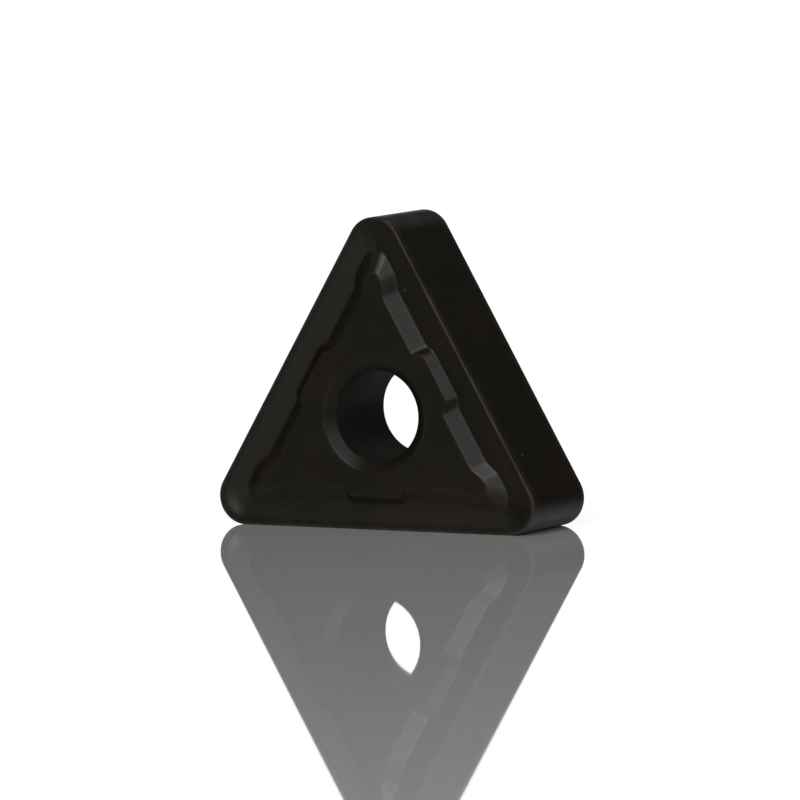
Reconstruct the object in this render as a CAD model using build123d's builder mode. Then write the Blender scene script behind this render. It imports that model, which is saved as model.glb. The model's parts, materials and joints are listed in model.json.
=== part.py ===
from build123d import *
import math
import os

# Indexable carbide turning insert: a negative, double-sided triangle with a
# clamping bore, pressed and sintered as one solid. Each face has three cutting
# edges with a chip groove behind them, and a raised island that breaks the chip
# and seats the insert. The island swells to a bump in the middle of each side,
# stands back in a pocket beyond each end of the bump, and reaches into every
# nose as a narrow tongue.
#
# Frame: the insert stands on one flank. X runs along that flank, Y runs along
# the bore away from the front face, and Z is up. The origin is on the flank.

# Body
inscribed_circle = 9.525
edge_thickness = 4.7625
nose_radius = 1.2
edge_hone = 0.05

# Chip groove, each width measured inward from the cutting edge, each angle from
# the plane of the face. The run-off ends under the island
land_width = 0.33
land_angle = 5.0
land_blend = 0.8
rake_end = 0.7
rake_angle = 18.5
rake_blend = 0.8
runoff_end = 1.3
runoff_angle = 10.5
runoff_corner_radius = 0.05

# Island foot, where it stands at the lowest level of the groove: insets from the
# cutting edge, lengths along a side. The bump is centred on the side, the pocket
# and the tongue are placed from the sharp corner, and the tongue ends in a cone
bump_inset = 1.03
bump_half_length = 1.13
bump_shoulder = 0.29
pocket_inset = 1.235
corner_to_pocket = 4.18
tongue_inset = 0.905
corner_to_tongue = 3.54
tongue_foot_radius = 0.67

# Island walls, their slopes measured from the plane of the face, and the plateau
bump_wall_angle = 46.5
pocket_wall_angle = 32.3
tongue_wall_angle = 30.5
plateau_height = 0.136
tongue_tip_radius = 0.35
rim_blend = 0.05

# Clamping bore
bore_radius = 1.905
bore_chamfer_width = 0.46
bore_chamfer_depth = 0.37
bore_blend = 0.12

inscribed_radius = inscribed_circle / 2
half_side = inscribed_radius * math.tan(math.radians(60))
land_drop = land_width * math.tan(math.radians(land_angle))
rake_drop = land_drop + (rake_end - land_width) * math.tan(math.radians(rake_angle))
groove_depth = rake_drop + (runoff_end - rake_end) * math.tan(math.radians(runoff_angle))
island_height = groove_depth + plateau_height

# Levels of the front face; the normal of each plane points out of the face
middle = Plane(origin=(0, 0, inscribed_radius), x_dir=(1, 0, 0), z_dir=(0, -1, 0))
edge_level = middle.offset(edge_thickness / 2)
land_level = edge_level.offset(-land_drop)
rake_level = edge_level.offset(-rake_drop)
floor_level = edge_level.offset(-groove_depth)
plateau_level = edge_level.offset(plateau_height)
bore_axis = Axis(middle.origin, (0, 1, 0))


def at_level(shapes, level):
    """Those of the shapes that lie at a level of the face."""
    height = level.origin.Y
    return shapes.filter_by_position(Axis.Y, height - 1e-4, height + 1e-4)


def rounded_triangle(level, inset, corner_radius):
    """Triangle parallel to the flanks, inset from them, with rounded corners."""
    with BuildSketch(level) as outline:
        apothem = inscribed_radius - inset
        RegularPolygon(apothem, 3, major_radius=False, rotation=90, align=None)
        fillet(outline.vertices(), corner_radius)
    return outline.sketch


def wall_run(wall_angle):
    """How far a wall leans inward between its foot and the plateau."""
    return island_height / math.tan(math.radians(wall_angle))


def on_side(side, along, inset):
    """Point so far along a side from its middle, and inset from its edge."""
    return Vector(along, inset - inscribed_radius).rotate(Axis.Z, 120 * side)


def island_outline(level, bump, pocket, tongue, tip_radius):
    """Outline of the island where its bumps, pockets and tongues have these insets."""
    tongue_end = (inscribed_radius - tongue - tip_radius) * math.tan(math.radians(60))
    right_half = [
        (bump_half_length, bump),
        (bump_half_length + bump_shoulder, pocket),
        (half_side - corner_to_pocket, pocket),
        (half_side - corner_to_tongue, tongue),
        (tongue_end, tongue),
    ]
    left_half = [(-along, inset) for along, inset in reversed(right_half)]
    whole_side = left_half + right_half
    with BuildSketch(level) as outline:
        with BuildLine():
            for side in range(3):
                stations = [on_side(side, along, inset) for along, inset in whole_side]
                Polyline(*stations)
                RadiusArc(stations[-1], on_side(side + 1, *whole_side[0]), -tip_radius)
        make_face()
    return outline.sketch


# The space of the chip groove: the land falls gently from the edge, then the rake
# falls steeply, then the run-off falls gently again to the foot of the island
with BuildPart() as groove:
    edge_outline = rounded_triangle(edge_level, 0, nose_radius)
    land_outline = rounded_triangle(land_level, land_width, nose_radius - land_width)
    rake_outline = rounded_triangle(rake_level, rake_end, nose_radius - rake_end)
    floor_outline = rounded_triangle(floor_level, runoff_end, runoff_corner_radius)
    loft([edge_outline, land_outline, rake_outline, floor_outline], ruled=True)
    fillet(at_level(groove.edges(), land_level), land_blend)
    fillet(at_level(groove.edges(), rake_level), rake_blend)

# The island, from the groove floor up to the plateau
with BuildPart() as island:
    foot_outline = island_outline(
        floor_level,
        bump_inset,
        pocket_inset,
        tongue_inset,
        tongue_foot_radius,
    )
    plateau_outline = island_outline(
        plateau_level,
        bump_inset + wall_run(bump_wall_angle),
        pocket_inset + wall_run(pocket_wall_angle),
        tongue_inset + wall_run(tongue_wall_angle),
        tongue_tip_radius,
    )
    loft([foot_outline, plateau_outline], ruled=True)
    fillet(at_level(island.edges(), plateau_level), rim_blend)

with BuildPart() as insert:
    # Half of the blank, from the middle plane to the plane of the cutting edges
    extrude(rounded_triangle(middle, 0, nose_radius), amount=edge_thickness / 2)

    # Groove and island of the front face
    add(groove.part, mode=Mode.SUBTRACT)
    cutting_edges = at_level(insert.edges(), edge_level)
    fillet(cutting_edges, edge_hone)
    add(island.part)

    # The back face is the same as the front
    mirror(about=Plane.XZ)

    # Bore, with a blended countersink at both faces
    with BuildSketch(Plane.XY.offset(inscribed_radius)) as bore:
        mouth_end = edge_thickness / 2 + plateau_height
        wall_end = mouth_end - bore_chamfer_depth
        mouth_radius = bore_radius + bore_chamfer_width
        with BuildLine():
            Polyline(
                (0, -mouth_end),
                (mouth_radius, -mouth_end),
                (bore_radius, -wall_end),
                (bore_radius, wall_end),
                (mouth_radius, mouth_end),
                (0, mouth_end),
                close=True,
            )
        make_face()
        shoulders = bore.vertices().group_by(Axis.X)[1]
        fillet(shoulders, bore_blend)
    revolve(axis=bore_axis, mode=Mode.SUBTRACT)

insert.part.label = "insert"

os.makedirs("parts", exist_ok=True)
export_step(insert.part, "parts/insert.step")
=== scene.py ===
# %% [markdown]
# This scene dresses one carbide turning insert: a small black triangle, pressed
# and sintered in one piece, with three cutting edges and a chip groove on each
# face. The engineering model is loaded first and stays as it is. It gives the
# size and the place of everything that follows.

# %% Load the engineering model
import json
import math

import bmesh
import bpy
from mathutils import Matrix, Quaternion, Vector


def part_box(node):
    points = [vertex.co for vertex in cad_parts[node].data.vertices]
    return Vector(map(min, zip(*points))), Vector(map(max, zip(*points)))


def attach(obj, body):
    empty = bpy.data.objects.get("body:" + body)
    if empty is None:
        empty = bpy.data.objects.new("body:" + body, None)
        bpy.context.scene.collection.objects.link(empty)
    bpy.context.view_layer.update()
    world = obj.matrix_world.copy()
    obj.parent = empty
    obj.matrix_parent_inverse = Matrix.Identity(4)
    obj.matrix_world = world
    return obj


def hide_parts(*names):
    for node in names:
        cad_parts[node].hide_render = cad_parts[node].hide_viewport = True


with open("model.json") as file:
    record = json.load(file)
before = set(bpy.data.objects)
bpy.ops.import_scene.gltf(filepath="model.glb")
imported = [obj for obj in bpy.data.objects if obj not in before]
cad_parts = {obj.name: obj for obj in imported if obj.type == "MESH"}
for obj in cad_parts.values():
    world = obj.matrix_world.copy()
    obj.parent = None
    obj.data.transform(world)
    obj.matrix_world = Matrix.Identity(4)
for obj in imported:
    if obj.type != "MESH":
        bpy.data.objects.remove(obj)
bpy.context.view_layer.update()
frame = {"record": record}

# %% [markdown]
# Blender works in metres, and an insert is designed in millimetres, so sizes are
# written in millimetres and scaled once, where they become a mesh. The sizes of
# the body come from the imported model: the bore's centre lies one inscribed
# radius above the flank that the insert stands on, and the height of a rounded
# triangle is three of those radii less the nose radius.

# %% Sizes of the body, in millimetres
MM = 0.001
mounts = {mount["name"]: mount for mount in frame["record"]["mounts"]}
low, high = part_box("insert")

inscribed_radius = mounts["bore"]["pos_m"][2] / MM
nose_radius = 3 * inscribed_radius - (high.z - low.z) / MM
bore_radius = mounts["bore"]["dims"]["r_mm"]
plateau_level = high.y / MM
half_side = inscribed_radius * math.tan(math.radians(60))
print(f"inscribed radius {inscribed_radius:.4f}, nose radius {nose_radius:.3f}")

# %% [markdown]
# The press tool leaves a chip groove behind each cutting edge. A narrow land
# falls gently and keeps the edge strong, the rake falls steeply and curls the
# chip, and the run-off falls less steeply, under the foot of the island. The
# island is the plateau round the bore on which the insert is seated, and it
# stands a little higher than the cutting edges. A level is a distance in front
# of the middle of the insert, an angle is a slope from the plane of the face.

# %% Sizes of the chip groove, in millimetres and degrees
plateau_height = 0.136
edge_level = plateau_level - plateau_height
land_width = 0.33
land_angle = 5.0
rake_end = 0.7
rake_angle = 18.5
runoff_end = 1.3
runoff_angle = 10.5


def fall(width, angle):
    """How far a slope of this angle falls over this width."""
    return width * math.tan(math.radians(angle))


land_drop = fall(land_width, land_angle)
rake_drop = land_drop + fall(rake_end - land_width, rake_angle)
groove_depth = rake_drop + fall(runoff_end - rake_end, runoff_angle)
print(f"groove depth {groove_depth:.3f}")

# %% [markdown]
# The pressed face repeats itself: three noses, each with a left and a right
# half, on two sides. So only a sixth of one face is modelled, a strip that runs
# along half a side, from the middle of the side to the middle of a nose. It is
# a grid. Its columns stand side by side along the edge, and its rows follow the
# section of the insert, from inside the bore, over the plateau, down the wall
# of the island, through the chip groove and out over the cutting edge.
#
# Every bend in the real part is rounded by the press tool. One helper rounds
# them all: it leaves a corner by an arc that touches both runs.

# %% Helper: round a corner
longest_reach = 0.45


def bend(before, corner, after, reach, steps):
    """Points of an arc that leaves each run this far from the corner."""
    back = (before - corner).normalized()
    ahead = (after - corner).normalized()
    start = corner + back * reach
    end = corner + ahead * reach
    weight = math.sqrt(max(0.0, (1 - back.dot(ahead)) / 2))
    points = []
    for step in range(steps + 1):
        t = step / steps
        parts = (1 - t) ** 2, 2 * t * (1 - t) * weight, t ** 2
        point = start * parts[0] + corner * parts[1] + end * parts[2]
        points.append(point / sum(parts))
    return points


def reach_of(before, corner, after, radius):
    """How far from the corner an arc of this radius touches both runs."""
    turn = (corner - before).angle(after - corner)
    room = min((corner - before).length, (after - corner).length) * longest_reach
    return min(radius * math.tan(turn / 2), room)


def stretch(start, end, steps):
    """Evenly spaced points between two points, without either end."""
    return [start.lerp(end, step / steps) for step in range(1, steps)]


square = bend(Vector((1, 0, 0)), Vector((0, 0, 0)), Vector((0, 1, 0)), 1.0, 2)
print("middle of a quarter arc:", [round(value, 4) for value in square[1]])

# %% [markdown]
# From the front, a place on the face is told by its distance from the middle of
# the side and by its inset from the cutting edge. The strip lies along the upper
# right side, up to the middle of the top nose. A nose is an arc. The tongue of
# the island has a nose too, with its tip cut off flat.

# %% Helpers: places along a side and round a nose
side_rise = math.radians(30)
side_normal = Vector((math.cos(side_rise), 0, math.sin(side_rise)))
side_along = Vector((-math.sin(side_rise), 0, math.cos(side_rise)))
face_center = Vector((0, 0, inscribed_radius))
round_steps = 13
flat_steps = 5


def on_side(along, inset):
    """Point along the upper right side from its middle, inset from its edge."""
    return face_center + side_normal * (inscribed_radius - inset) + side_along * along


def tip_of(inset, radius, flat=0.0):
    """Points round half a nose, which may be cut off by a flat of this width."""
    center = face_center + Vector((0, 0, 2 * (inscribed_radius - inset - radius)))
    last = math.acos(flat / 2 / radius)
    steps = round_steps if flat else round_steps + flat_steps
    points = []
    for step in range(steps + 1):
        angle = side_rise + (last - side_rise) * step / steps
        points.append(center + Vector((math.cos(angle), 0, math.sin(angle))) * radius)
    if flat:
        middle = Vector((0, 0, points[-1].z))
        points += stretch(points[-1], middle, flat_steps) + [middle]
    return points


print("points round half a nose:", len(tip_of(0, nose_radius)))

# %% [markdown]
# Each row of the grid is an outline of the face at one level. The outline of the
# island swells to a bump in the middle of the side, stands back in a pocket
# beyond it, and then reaches into the nose as a tongue. Where all insets are
# equal the outline is a plain rounded triangle, as the cutting edge is. All
# outlines have the same number of points, so that rows can follow each other
# without a gap.

# %% Helper: one outline, for half a side
bump_half_length = 1.13
bump_shoulder = 0.29
corner_to_pocket = 4.18
corner_to_tongue = 3.54
corner_reach = 0.13
corner_steps = 5
run_steps = (3, 1, 5, 1, 6)


def outline(bump, pocket, tongue, tip):
    """Points from the middle of the side to the middle of the top nose."""
    stations = [
        on_side(0, bump),
        on_side(bump_half_length, bump),
        on_side(bump_half_length + bump_shoulder, pocket),
        on_side(half_side - corner_to_pocket, pocket),
        on_side(half_side - corner_to_tongue, tongue),
        tip[0],
    ]
    points = [stations[0]]
    for index in range(1, 5):
        arc = bend(*stations[index - 1:index + 2], corner_reach, corner_steps)
        points += stretch(points[-1], arc[0], run_steps[index - 1]) + arc
    return points + stretch(points[-1], tip[0], run_steps[4]) + tip


def plain_outline(inset, corner_radius):
    """Rounded triangle that keeps one inset from the cutting edge."""
    return outline(inset, inset, inset, tip_of(inset, corner_radius))


print("columns in the strip:", len(plain_outline(0, nose_radius)))

# %% [markdown]
# These are the lines in which the forms of the face meet: the cutting edge, the
# inner ends of the land and of the rake, the foot and the rim of the island, and
# the mouth and the wall of the bore. The walls of the island lean inward, each
# kind by its own angle, so its rim lies inside its foot. The bore has a
# countersink, where the head of the clamp screw or pin finds its way in.

# %% Lines where the forms meet, in millimetres and degrees
bump_inset = 1.03
pocket_inset = 1.235
tongue_inset = 0.905
tongue_foot_radius = 0.67
tongue_foot_flat = 0.54
tongue_tip_radius = 0.35
tongue_tip_flat = 0.10
bump_wall_angle = 46.5
pocket_wall_angle = 32.3
tongue_wall_angle = 30.5
bore_chamfer_width = 0.46
bore_chamfer_depth = 0.37


def wall_run(wall_angle):
    """How far a wall leans inward between the lowest level and the plateau."""
    return (groove_depth + plateau_height) / math.tan(math.radians(wall_angle))


def circle(points, radius):
    """Points of a circle round the bore, each in the direction of a given point."""
    return [face_center + (point - face_center).normalized() * radius for point in points]


edge_line = plain_outline(0, nose_radius)
land_line = plain_outline(land_width, nose_radius - land_width)
rake_line = plain_outline(rake_end, nose_radius - rake_end)
lowest_line = outline(
    bump_inset,
    pocket_inset,
    tongue_inset,
    tip_of(tongue_inset, tongue_foot_radius, tongue_foot_flat),
)
rim_inset = tongue_inset + wall_run(tongue_wall_angle)
rim_line = outline(
    bump_inset + wall_run(bump_wall_angle),
    pocket_inset + wall_run(pocket_wall_angle),
    rim_inset,
    tip_of(rim_inset, tongue_tip_radius, tongue_tip_flat),
)
mouth_line = circle(edge_line, bore_radius + bore_chamfer_width)
bore_line = circle(edge_line, bore_radius)
lowest_level = edge_level - groove_depth
shoulder_level = plateau_level - bore_chamfer_depth
print(f"rim of the tongue {rim_inset:.3f} inside the edge")

# %% [markdown]
# A section is the line that one column of the grid follows. It starts on the
# middle plane inside the bore and ends on the middle plane at the flank. Its
# corners are joined by straight runs, and each corner is rounded by the radius
# that the real edge or fillet has there. The cutting edge is honed by a very
# small radius, while the land and the rake blend into the groove by large ones.
#
# The run-off is a slope that passes under the island, so the foot of the wall is
# found where that slope meets the line from the lowest level to the rim.

# %% Lay out the sections, radii in millimetres
bore_blend = 0.12
mouth_blend = 0.04
rim_blend = 0.06
foot_blend = 0.15
rake_blend = 0.8
land_blend = 0.8
edge_hone = 0.05
section_radii = (
    bore_blend,
    mouth_blend,
    rim_blend,
    foot_blend,
    rake_blend,
    land_blend,
    edge_hone,
)
blend_steps = 6
section_steps = (4, 2, 8, 4, 3, 2, 2, 6)


def at_depth(point, level):
    """The same place on the face, moved to this level in front of the middle."""
    return Vector((point.x, -level, point.z))


def inset_of(point):
    """How far a point lies inward from the upper right side."""
    return inscribed_radius - (point - face_center).dot(side_normal)


def foot_point(column):
    """Where the wall of the island meets the run-off of the groove."""
    lowest = lowest_line[column]
    rim = rim_line[column]
    hidden = fall(runoff_end - inset_of(lowest), runoff_angle)
    lean = fall(inset_of(rim) - inset_of(lowest), runoff_angle)
    share = hidden / (groove_depth + plateau_height + lean)
    return at_depth(lowest, lowest_level).lerp(at_depth(rim, plateau_level), share)


def section(column):
    """Points of one column, from the bore's middle to the flank's middle."""
    corners = [
        at_depth(bore_line[column], 0.0),
        at_depth(bore_line[column], shoulder_level),
        at_depth(mouth_line[column], plateau_level),
        at_depth(rim_line[column], plateau_level),
        foot_point(column),
        at_depth(rake_line[column], edge_level - rake_drop),
        at_depth(land_line[column], edge_level - land_drop),
        at_depth(edge_line[column], edge_level),
        at_depth(edge_line[column], 0.0),
    ]
    points = [corners[0]]
    for index, radius in enumerate(section_radii, start=1):
        around = corners[index - 1:index + 2]
        arc = bend(*around, reach_of(*around, radius), blend_steps)
        points += stretch(points[-1], arc[0], section_steps[index - 1]) + arc
    points += stretch(points[-1], corners[-1], section_steps[-1])
    points.append(corners[-1])
    return points


sections = [section(column) for column in range(len(edge_line))]
print(f"{len(sections)} sections of {len(sections[0])} points")

# %% [markdown]
# The strip could be cut and bevelled out of a block, but the bevels of walls with
# three slopes would run into each other at every station. So it starts as a grid
# primitive with one vertex for each point of the sections, and each vertex is
# moved to its point.

# %% Model a sixth of the front face
bpy.ops.object.select_all(action="DESELECT")
columns = len(sections)
rows = len(sections[0])
bpy.ops.mesh.primitive_grid_add(x_subdivisions=columns - 1, y_subdivisions=rows - 1, size=1)
insert = bpy.context.object
insert.name = "coated_insert"
insert.data.name = "coated_insert"
bpy.ops.object.mode_set(mode="EDIT")
strip = bmesh.from_edit_mesh(insert.data)
strip.verts.ensure_lookup_table()
for row in range(rows):
    for column in range(columns):
        strip.verts[row * columns + column].co = sections[column][row] * MM
bmesh.update_edit_mesh(insert.data)
bpy.ops.object.mode_set(mode="OBJECT")
print("vertices in the strip:", len(insert.data.vertices))

# %% [markdown]
# Before coating, the blanks are tumbled, and later they rub in their box, so the
# coating turns thin and light where an edge sticks out. The bore is never
# touched after sintering and stays rougher than the faces. Both facts belong to
# rows of the grid, so each vertex gets two values, which the material reads
# later. They are set now, because every copy of the strip then carries them.

# %% Mark the worn edges and the bore
light_wear = 0.15
full_wear = 1.0
arc_rows = []
row = 1
for steps in section_steps[:-1]:
    row += steps - 1
    arc_rows.append(range(row, row + blend_steps + 1))
    row += blend_steps + 1
shoulder_rows, mouth_rows, rim_rows = arc_rows[:3]
hone_rows = arc_rows[-1]


def mark(name, rows_of_value):
    """Give the vertices of these rows a value of their own."""
    layer = insert.data.attributes.new(name, "FLOAT", "POINT")
    for value, marked in rows_of_value:
        for marked_row in marked:
            for column in range(columns):
                layer.data[marked_row * columns + column].value = value


mark("wear", [(light_wear, mouth_rows), (light_wear, rim_rows), (full_wear, hone_rows)])
mark("bore", [(1.0, range(shoulder_rows[-1]))])
print("rows of the hone:", hone_rows)

# %% [markdown]
# The strip is mirrored at the middle of the nose, turned twice by a third of a
# turn to make three sides, and mirrored once more for the back face. Where the
# copies meet, their vertices are merged. A mirror turns faces inside out, so the
# normals are made to point outwards at the end.

# %% Repeat the strip round the whole insert
weld = 0.0004 * MM


def mirror(piece, use_x, use_y):
    """Mirror a piece across the frame's own planes and keep the result."""
    modifier = piece.modifiers.new("mirror", "MIRROR")
    modifier.use_axis = (use_x, use_y, False)
    modifier.use_clip = False
    modifier.merge_threshold = weld
    bpy.ops.object.modifier_apply(modifier=modifier.name)


mirror(insert, True, False)
bpy.ops.object.mode_set(mode="EDIT")
bpy.ops.mesh.select_all(action="SELECT")
bpy.ops.mesh.spin(
    steps=3,
    dupli=True,
    angle=math.radians(360),
    center=face_center * MM,
    axis=(0, 1, 0),
)
bpy.ops.object.mode_set(mode="OBJECT")
print("after the turn:", len(insert.data.vertices))
mirror(insert, False, True)
bpy.ops.object.mode_set(mode="EDIT")
bpy.ops.mesh.select_all(action="SELECT")
bpy.ops.mesh.remove_doubles(threshold=weld)
bpy.ops.mesh.normals_make_consistent(inside=False)
bpy.ops.object.mode_set(mode="OBJECT")
bpy.ops.object.shade_smooth()
print("vertices in the insert:", len(insert.data.vertices))

# %% [markdown]
# The insert is one rigid piece, so it rides on the only body there is. It stands
# for the CAD solid of the same name, which stays hidden behind it.

# %% Put the piece in the frame
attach(insert, "root")
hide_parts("insert")
print("insert, millimetres:", [round(length / MM, 3) for length in insert.dimensions])

# %% [markdown]
# The finish is a hard black coating, grown on the carbide from a hot gas, about
# a hundredth of a millimetre thick. It is satin, nearly black and slightly warm.
# Its colour is so dark that the faces show by what they reflect, and its index
# of refraction is low, because the crystals on its surface scatter most light
# into their own gaps.
#
# All patterns are noise on object coordinates. These are metres, so a pattern of
# one millimetre has a scale of 1000. A few helpers keep the node trees short.

# %% Helpers: add shader nodes
def add(tree, kind, inputs, **settings):
    """Add a node, set its options, then link or set its inputs."""
    made = tree.nodes.new(kind)
    for name, value in settings.items():
        setattr(made, name, value)
    for socket, value in inputs.items():
        if isinstance(value, bpy.types.NodeSocket):
            tree.links.new(value, made.inputs[socket])
        else:
            made.inputs[socket].default_value = value
    return made


def spread(tree, value, low, high, to_low, to_high, **settings):
    """Map a value from one range to another, and clamp it there."""
    ranges = {"Value": value, "From Min": low, "From Max": high}
    ranges.update({"To Min": to_low, "To Max": to_high})
    return add(tree, "ShaderNodeMapRange", ranges, **settings).outputs["Result"]


def math_node(tree, operation, first, second):
    """Combine two values."""
    return add(tree, "ShaderNodeMath", {0: first, 1: second}, operation=operation).outputs[0]


def mix_colors(tree, share, first, second):
    """Blend two colours by a share."""
    inputs = {0: share, 6: first, 7: second}
    return add(tree, "ShaderNodeMix", inputs, data_type="RGBA").outputs[2]


def noise(tree, place, scale, detail):
    """Noise whose features are one over the scale in metres."""
    inputs = {"Vector": place, "Scale": scale, "Detail": detail}
    return add(tree, "ShaderNodeTexNoise", inputs).outputs["Fac"]


print("helpers:", [helper.__name__ for helper in (add, spread, math_node, mix_colors, noise)])

# %% [markdown]
# While the coating grew, a few grains stuck to it, each about a tenth of a
# millimetre across or less. A Voronoi pattern fits them: each of its cells holds
# one dot, and a random value of the cell leaves most of them out.

# %% Mask: stuck grains
cell_scale = 620.0
dot_radius = 0.030
dot_end = 0.055
left_out = 0.72


def specks_mask(tree, place):
    """One where a stuck grain sits, zero elsewhere."""
    cells = add(tree, "ShaderNodeTexVoronoi", {"Vector": place, "Scale": cell_scale})
    dot = spread(tree, cells.outputs["Distance"], dot_radius, dot_end, 1.0, 0.0)
    chance = add(tree, "ShaderNodeSeparateColor", {"Color": cells.outputs["Color"]})
    kept = math_node(tree, "GREATER_THAN", chance.outputs["Red"], left_out)
    return math_node(tree, "MULTIPLY", dot, kept)


print(f"cells of {1 / cell_scale / MM:.1f} mm, grains of {2 * dot_radius / cell_scale / MM:.2f} mm")

# %% [markdown]
# The colour drifts between olive and brown over a few millimetres, as the
# thickness of the coating does. Worn edges are lighter, in broken patches. The
# gloss changes a little in the same patches and with the grain of the crystals,
# and the bore is duller. Grain and stuck grains stand up from the surface by
# some thousandths of a millimetre, which is left to a bump.

# %% Material: coated carbide
olive = (0.0023, 0.0020, 0.0008, 1)
brown = (0.0036, 0.0022, 0.0010, 1)
thin_coating = (0.0150, 0.0120, 0.0090, 1)
stuck_grain = (0.0700, 0.0600, 0.0450, 1)
drift_scale = 300.0
patch_scale = 900.0
grain_scale = 14000.0
satin_low, satin_high = 0.34, 0.42
grain_change = 0.02
bore_change = 0.25
relief_strength = 0.10
relief_height = 0.006 * MM
coating_ior = 1.23


def coated_carbide():
    """Black satin coating over sintered carbide."""
    material = bpy.data.materials.new("coated_carbide")
    material.use_nodes = True
    tree = material.node_tree
    surface = tree.nodes["Principled BSDF"]
    place = add(tree, "ShaderNodeTexCoord", {}).outputs["Object"]
    wear = add(tree, "ShaderNodeAttribute", {}, attribute_name="wear").outputs["Fac"]
    bore = add(tree, "ShaderNodeAttribute", {}, attribute_name="bore").outputs["Fac"]
    patches = noise(tree, place, patch_scale, 4.0)
    grain = noise(tree, place, grain_scale, 3.0)
    specks = specks_mask(tree, place)

    drift = spread(tree, noise(tree, place, drift_scale, 2.0), 0.35, 0.65, 0.0, 1.0)
    tone = mix_colors(tree, drift, olive, brown)
    bare = math_node(tree, "MULTIPLY", wear, spread(tree, patches, 0.35, 0.70, 0.35, 1.0))
    worn = mix_colors(tree, bare, tone, thin_coating)
    color = mix_colors(tree, specks, worn, stuck_grain)
    tree.links.new(color, surface.inputs["Base Color"])

    satin = spread(tree, patches, 0.30, 0.70, satin_low, satin_high)
    grain_part = spread(tree, grain, 0.30, 0.70, -grain_change, grain_change)
    rough = math_node(tree, "ADD", satin, grain_part)
    rougher = math_node(tree, "ADD", rough, spread(tree, bore, 0.0, 1.0, 0.0, bore_change))
    tree.links.new(rougher, surface.inputs["Roughness"])

    height = math_node(tree, "ADD", grain, specks)
    relief = {"Strength": relief_strength, "Distance": relief_height, "Height": height}
    bump = add(tree, "ShaderNodeBump", relief)
    tree.links.new(bump.outputs["Normal"], surface.inputs["Normal"])
    surface.inputs["IOR"].default_value = coating_ior
    return material


insert.data.materials.clear()
insert.data.materials.append(coated_carbide())
print("materials of the insert:", [slot.name for slot in insert.material_slots])

# %% [markdown]
# The insert stands on a sheet of white board with a clear gloss. From above such
# a board is matt white; at a flat angle the gloss takes over and mirrors what
# stands on it. So it is a mix of a matt and a mirror shader, and the angle of
# view sets the share of each. The fifth power is the law that clear lacquers
# nearly follow, and the share is raised for a board polished to a high gloss.

# %% Stage: floor
paper_gray = (0.68, 0.68, 0.68, 1)
paper_white = (0.72, 0.72, 0.72, 1)
fibre_scale = 30.0
gloss_power = 5.0
gloss_share = 1.41
gloss_roughness = 0.02
floor_size = 8.0


def board_material():
    """White board under a clear gloss."""
    material = bpy.data.materials.new("glossy_board")
    material.use_nodes = True
    tree = material.node_tree
    tree.nodes.clear()
    facing = add(tree, "ShaderNodeLayerWeight", {"Blend": 0.5}).outputs["Facing"]
    steep = math_node(tree, "POWER", facing, gloss_power)
    share = math_node(tree, "MULTIPLY", steep, gloss_share)
    place = add(tree, "ShaderNodeTexCoord", {}).outputs["Object"]
    fibres = noise(tree, place, fibre_scale, 3.0)
    paper = mix_colors(tree, fibres, paper_gray, paper_white)
    matt = add(tree, "ShaderNodeBsdfDiffuse", {"Color": paper}).outputs["BSDF"]
    gloss_inputs = {"Color": (1, 1, 1, 1), "Roughness": gloss_roughness}
    gloss = add(tree, "ShaderNodeBsdfGlossy", gloss_inputs).outputs["BSDF"]
    mixed = add(tree, "ShaderNodeMixShader", {0: share, 1: matt, 2: gloss}).outputs["Shader"]
    add(tree, "ShaderNodeOutputMaterial", {"Surface": mixed})
    return material


bpy.ops.object.select_all(action="DESELECT")
bpy.ops.mesh.primitive_plane_add(size=floor_size, location=(0, 0, 0))
floor = bpy.context.object
floor.name = "floor"
floor.data.materials.append(board_material())
print("floor, metres:", floor.dimensions[:2])

# %% [markdown]
# A black part is lit by what it reflects. The room is dim behind and above, and
# a soft glow fills its front, down to a low band that stays dark and gives the
# plateau of the insert its depth. Behind the insert, opposite the camera, stands
# a white card. The gloss of the board mirrors it, and that makes the ground
# white without any light on the black faces.
#
# Directions are an azimuth and an elevation in degrees: azimuth 0 is in front of
# the insert, 90 is to its right. The borders of the glow are parts of a vector
# of length 1, its height and its way back.

# %% World: the room and the card
scene = bpy.context.scene
scene.view_settings.view_transform = "Standard"
camera_azimuth = 27.289
camera_elevation = 5.134
dim_room = 0.05
front_glow = 0.32
glow_bottom, glow_full = 0.12, 0.20
glow_front, glow_back = -0.10, 0.40
card_white = 1.36
card_azimuth = camera_azimuth + 180
card_elevation = 3
card_radius, card_end = 9, 11


def direction(azimuth, elevation):
    """Unit vector from the insert to a place around it."""
    turn = math.radians(azimuth)
    rise = math.radians(elevation)
    level = math.cos(rise)
    return Vector((math.sin(turn) * level, -math.cos(turn) * level, math.sin(rise)))


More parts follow.
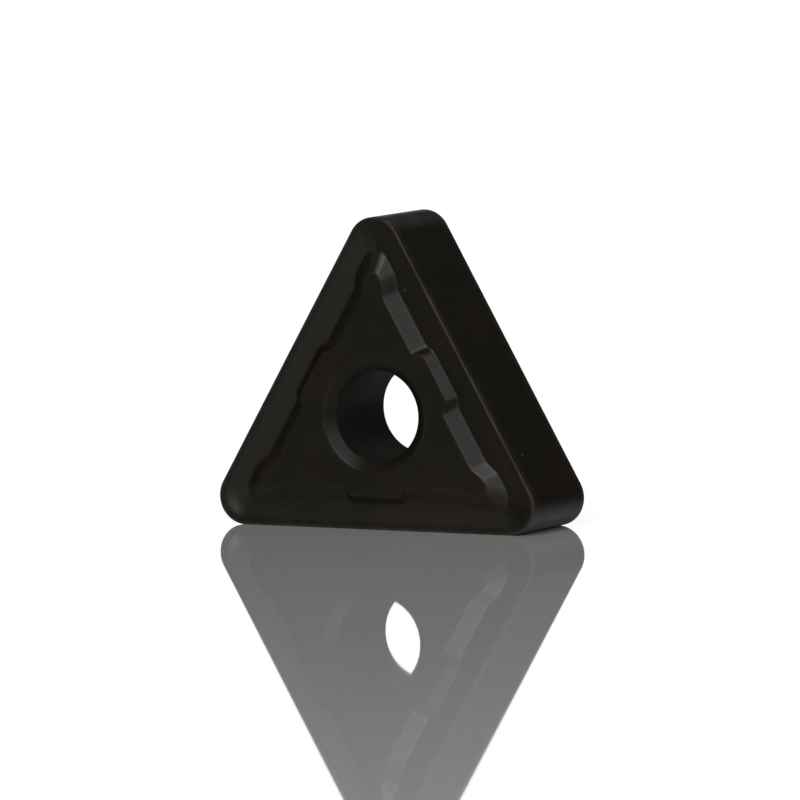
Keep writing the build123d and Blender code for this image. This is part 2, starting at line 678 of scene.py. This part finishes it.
def room_world():
    """Dim room with a glow in front and a white card behind."""
    soft = {"interpolation_type": "SMOOTHSTEP"}
    world = bpy.data.worlds.new("studio")
    world.use_nodes = True
    tree = world.node_tree
    tree.nodes.clear()
    toward = add(tree, "ShaderNodeTexCoord", {}).outputs["Generated"]
    split = add(tree, "ShaderNodeSeparateXYZ", {"Vector": toward}).outputs
    above = spread(tree, split["Z"], glow_bottom, glow_full, 0.0, 1.0, **soft)
    ahead = spread(tree, split["Y"], glow_front, glow_back, 1.0, 0.0, **soft)
    both = math_node(tree, "MULTIPLY", above, ahead)
    room = spread(tree, both, 0.0, 1.0, dim_room, front_glow)
    aim = {0: toward, 1: direction(card_azimuth, card_elevation)}
    aimed = add(tree, "ShaderNodeVectorMath", aim, operation="DOT_PRODUCT").outputs["Value"]
    edge = math.cos(math.radians(card_end))
    full = math.cos(math.radians(card_radius))
    card = spread(tree, aimed, edge, full, 0.0, card_white, **soft)
    strength = math_node(tree, "MAXIMUM", room, card)
    sky = add(tree, "ShaderNodeBackground", {"Strength": strength}).outputs["Background"]
    add(tree, "ShaderNodeOutputWorld", {"Surface": sky})
    return world


scene.world = room_world()
print("card toward:", [round(part, 3) for part in direction(card_azimuth, card_elevation)])

# %% [markdown]
# The lamps are soft boxes, round panels that all face the insert. A box is named
# by the place where it hangs, and its size is the angle under which the insert
# sees it, so that its reflection in a face is easy to foresee. The small spot
# box draws the bright streaks on the noses of the island, and the side box fills
# its right walls.

# %% Lamps: azimuth, elevation, width and height in degrees, then radiance
lamp_distance = 1.2


def softbox(name, azimuth, elevation, width, height, radiance):
    """Area lamp that faces the insert and looks so wide and so high from it."""
    lamp = bpy.data.lights.new(name, "AREA")
    lamp.shape = "ELLIPSE"
    lamp.size = 2 * lamp_distance * math.tan(math.radians(width / 2))
    lamp.size_y = 2 * lamp_distance * math.tan(math.radians(height / 2))
    area = math.pi * lamp.size * lamp.size_y / 4
    lamp.energy = radiance * math.pi * area
    box = bpy.data.objects.new(name, lamp)
    scene.collection.objects.link(box)
    away = direction(azimuth, elevation)
    box.location = away * lamp_distance + face_center * MM
    box.rotation_euler = away.to_track_quat("Z", "Y").to_euler()
    return box


boxes = [
    softbox("key_box", 9, 22, 50, 38, 3.3),
    softbox("spot_box", 7, 36, 10, 12, 56.0),
    softbox("top_box", 13, 50, 16, 16, 6.5),
    softbox("side_box", 62, 35, 28, 28, 5.2),
    softbox("left_box", -108, 9, 36, 18, 3.1),
    softbox("right_box", 92, 11, 36, 22, 1.85),
    softbox("low_strip", 15, 7, 60, 10, 1.6),
    softbox("back_box", 172, 40, 50, 30, 0.4),
]
print("lamps:", [box.name for box in boxes])

# %% [markdown]
# The camera stands half a metre away with a very long lens, turned by nearly a
# third of a right angle to the side, so that the face, one flank and the light
# through the bore show together.

# %% Camera
camera_distance = 0.51306
camera_roll = -0.482
camera_lens = 551.72
sensor_width = 36
camera_target = (-0.0526, 0.0291, 5.2404)


def place_camera():
    """Camera that looks at its target, which is given in millimetres."""
    data = bpy.data.cameras.new("camera")
    data.lens = camera_lens
    data.sensor_width = sensor_width
    data.clip_start = 0.01
    data.clip_end = 50
    made = bpy.data.objects.new("camera", data)
    scene.collection.objects.link(made)
    away = direction(camera_azimuth, camera_elevation)
    made.location = Vector(camera_target) * MM + away * camera_distance
    roll = Quaternion((0, 0, 1), math.radians(camera_roll))
    made.rotation_euler = (away.to_track_quat("Z", "Y") @ roll).to_euler()
    scene.camera = made
    return made


camera = place_camera()
print("camera at, metres:", [round(part, 4) for part in camera.location])
